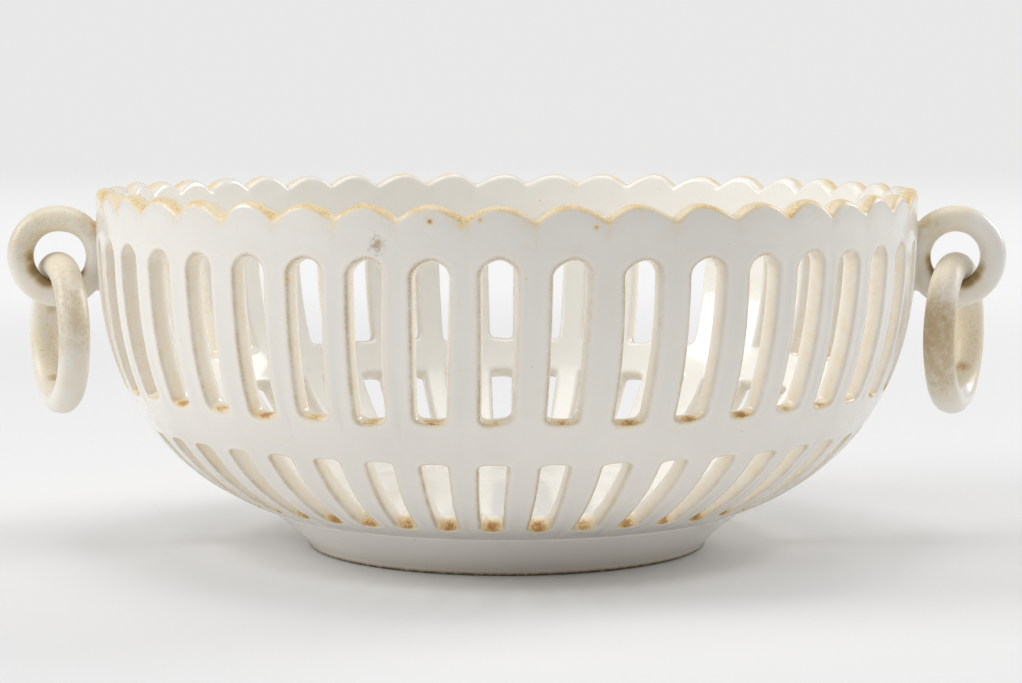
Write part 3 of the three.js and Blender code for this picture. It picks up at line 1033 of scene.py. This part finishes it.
# Stains of the rings: place and radius in millimetres, strength and colour.
fixed_patches = [
    ((-116, -3, 85), 16, 0.65, yellow_stain),
    ((-125, -3, 78), 13, 0.7, tan_stain),
    ((-106, -2, 83), 8, 0.8, tan_stain),
    ((-104.8, -2, 82), 4.0, 0.8, ochre_stain),
    ((108, -1, 83), 9, 0.6, tan_stain),
    ((107.5, -2, 83), 3.0, 0.6, olive_stain),
]
loose_patches = [
    ((-116, -6, 73), 10, 0.6, yellow_stain),
    ((-117.5, -2, 73), 5, 0.6, tan_stain),
    ((-112, -15, 62), 17, 0.85, tan_stain),
    ((-110, -14, 53), 10, 0.3, olive_stain),
    ((-119, 13, 50), 17, 0.75, yellow_stain),
    ((-119.6, 12.6, 60.0), 3.0, 0.7, olive_stain),
    ((-118.5, 6.0, 41.8), 2.6, 0.8, olive_stain),
    ((115, -5, 72), 9, 0.6, tan_stain),
    ((110, -18, 54), 26, 0.85, tan_stain),
    ((109, -17, 58), 12, 0.7, dark_tan_stain),
    ((110, -18, 52), 17, 0.35, olive_stain),
    ((121, 12, 50), 17, 0.7, yellow_stain),
    ((120, 8, 41), 10, 0.7, yellow_stain),
    ((119.5, 9.2, 44.6), 3.4, 0.8, olive_stain),
    ((119.5, 9.2, 44.6), 1.8, 0.7, rust_stain),
    ((110.0, -19.5, 60.0), 1.8, 0.8, olive_stain),
]

# Brown rubs in the holes of the fixed rings: place and radius in millimetres, and strength.
fixed_rubs = [
    ((-122.8, -1.5, 74.0), 3.5, 0.9),
    ((-121.8, -1.5, 70.6), 4.5, 1.2),
    ((-119.0, -1.5, 67.8), 5.0, 1.4),
    ((-110.2, -1.5, 69.6), 3.6, 1.2),
    ((118.5, -1.5, 67.6), 4.6, 1.5),
    ((120.6, -1.5, 69.0), 4.0, 1.2),
    ((122.0, -1.5, 71.0), 3.6, 0.8),
    ((110.2, -1.5, 69.6), 4.0, 1.3),
    ((109.1, -1.5, 71.4), 3.4, 1.1),
    ((108.6, -1.5, 73.2), 3.4, 1.1),
]

# Clean places of the rings: place and radius in millimetres.
fixed_clean_place = ((127, -2, 79), 14)
loose_clean_place = ((121, 0, 38), 8)


# The basket

bowl_finish = bowl_glaze()
foot_finish = foot_glaze()
fixed_finish = ring_glaze("fixed_ring_glaze", fixed_patches, fixed_rubs, fixed_clean_place)
loose_finish = ring_glaze("loose_ring_glaze", loose_patches, [], loose_clean_place)

bowl = basket_bowl(bowl_finish)
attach(bowl, "basket")
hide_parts("basket_bowl")

foot = foot_ring(foot_finish)
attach(foot, "basket")
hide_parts("foot_ring")

for side, word in ((-1, "left"), (1, "right")):
    centre = (side * handle_distance, 0, handle_height)
    thinning = left_ring_thinning if side < 0 else 0
    size = (fixed_ring_radius, fixed_ring_tube, fixed_ring_tube, thinning)
    fixed = ring(word + "_handle", centre, 0, size, seed=20 + side, material=fixed_finish)
    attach(fixed, "basket")
    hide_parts(word + "_fixed_ring")

    collar = slip_collar(word + "_slip", side, fixed_finish)
    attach(collar, "basket")
    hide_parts(word + "_slip_joint")

    centre = (side * handle_distance, 0, loose_ring_height)
    turn = side * (math.pi / 2 - loose_ring_turn)
    size = (loose_ring_radius, loose_ring_tube, loose_ring_half_width, 0)
    loose = ring(word + "_ring", centre, turn, size, seed=30 + side, material=loose_finish)
    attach(loose, word + "_loose_ring")
    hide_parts(word + "_loose_ring")


# Camera: the photograph's viewing angle, in its frame of 1022 by 683 pixels.
frame_width = 1022
focal_pixels = 2719
sensor_width = 36.0
camera_place = (1.085 * MM, -700 * MM, 119.5 * MM)
camera_pitch = math.radians(5.5)

camera_data = bpy.data.cameras.new("camera")
camera_data.sensor_fit = "HORIZONTAL"
camera_data.sensor_width = sensor_width
camera_data.lens = focal_pixels / frame_width * sensor_width
camera = bpy.data.objects.new("camera", camera_data)
camera.location = camera_place
camera.rotation_euler = (math.pi / 2 - camera_pitch, 0, 0)
bpy.context.scene.collection.objects.link(camera)
bpy.context.scene.camera = camera

# Floor, fading into a paler stretch behind the object and then into the background. The fades
# start and end at these distances in millimetres.
background = (0.81, 0.808, 0.805)
pale_stretch = (0.92, 0.92, 0.92)
floor_colour = (0.795, 0.795, 0.795)
floor_bounce = (0.92, 0.92, 0.92)
pale_fade = (400.0, 900.0)
background_fade = (1100.0, 3200.0)


def floor():
    """The floor. The camera and reflections see its colours, and the object gets its bounce."""
    steps = np.array([0, 0.15, 0.3, 0.6, 1.0, 1.6, 2.6, 5.0, 12.0])
    around = 96
    turn = np.arange(around) / around * 2 * math.pi
    across = np.stack([np.cos(turn), np.sin(turn), np.zeros_like(turn)], -1)
    sheet = Sheet()
    sheet.grid(-steps[::-1, None, None] * across[None] * [1, -1, 1], closed_rows=True)
    m = Material("floor")
    m.shader.inputs["Roughness"].default_value = 0.9
    m.shader.inputs["Specular IOR Level"].default_value = 0.1
    far = m.node("ShaderNodeVectorMath", operation="LENGTH")
    m.link(m.place.outputs[0], far.inputs[0])
    path = m.node("ShaderNodeLightPath")
    seen = m.math("MAXIMUM", path.outputs["Is Camera Ray"], path.outputs["Is Glossy Ray"])
    m.link(m.mix(seen, floor_bounce, floor_colour), m.shader.inputs["Base Color"])
    glow = m.node("ShaderNodeEmission")
    tone = m.mix(m.ramp(far.outputs["Value"], *background_fade), pale_stretch, background)
    m.link(tone, glow.inputs["Color"])
    blend = m.node("ShaderNodeMixShader")
    m.link(m.product(seen, m.ramp(far.outputs["Value"], *pale_fade)), blend.inputs[0])
    m.link(m.shader.outputs[0], blend.inputs[1])
    m.link(glow.outputs[0], blend.inputs[2])
    m.link(blend.outputs[0], m.tree.nodes["Material Output"].inputs["Surface"])
    return sheet.piece("floor", m.material)


floor()

# Light.
sky_light = 0.45
lamp_target = (0, 0, 0.05)


def world():
    """Soft light from all round. The camera sees the background's colour instead."""
    made = bpy.data.worlds.new("studio")
    made.use_nodes = True
    tree = made.node_tree
    light = tree.nodes["Background"]
    light.inputs["Color"].default_value = (1, 1, 1, 1)
    light.inputs["Strength"].default_value = sky_light
    seen = tree.nodes.new("ShaderNodeBackground")
    seen.inputs["Color"].default_value = (*background, 1)
    path = tree.nodes.new("ShaderNodeLightPath")
    blend = tree.nodes.new("ShaderNodeMixShader")
    tree.links.new(path.outputs["Is Camera Ray"], blend.inputs[0])
    tree.links.new(light.outputs[0], blend.inputs[1])
    tree.links.new(seen.outputs[0], blend.inputs[2])
    tree.links.new(blend.outputs[0], tree.nodes["World Output"].inputs["Surface"])
    bpy.context.scene.world = made


def softbox(name, place, size, power):
    """An area lamp that faces the object."""
    lamp = bpy.data.lights.new(name, "AREA")
    lamp.shape = "RECTANGLE"
    lamp.size, lamp.size_y = size
    lamp.energy = power
    made = bpy.data.objects.new(name, lamp)
    made.location = place
    aim = np.array(lamp_target) - np.array(place)
    tilt = math.atan2(math.hypot(aim[0], aim[1]), -aim[2])
    made.rotation_euler = (tilt, 0, math.atan2(-aim[0], aim[1]))
    made.visible_camera = False
    bpy.context.scene.collection.objects.link(made)


world()
softbox("top_light", place=(0.0, 0.0, 1.5), size=(1.1, 1.1), power=8)
softbox("left_light", place=(-1.5, -0.2, 0.9), size=(0.9, 0.9), power=13)
softbox("right_light", place=(1.4, 0.75, 0.8), size=(0.8, 0.8), power=11)

bpy.context.scene.view_settings.view_transform = "Standard"
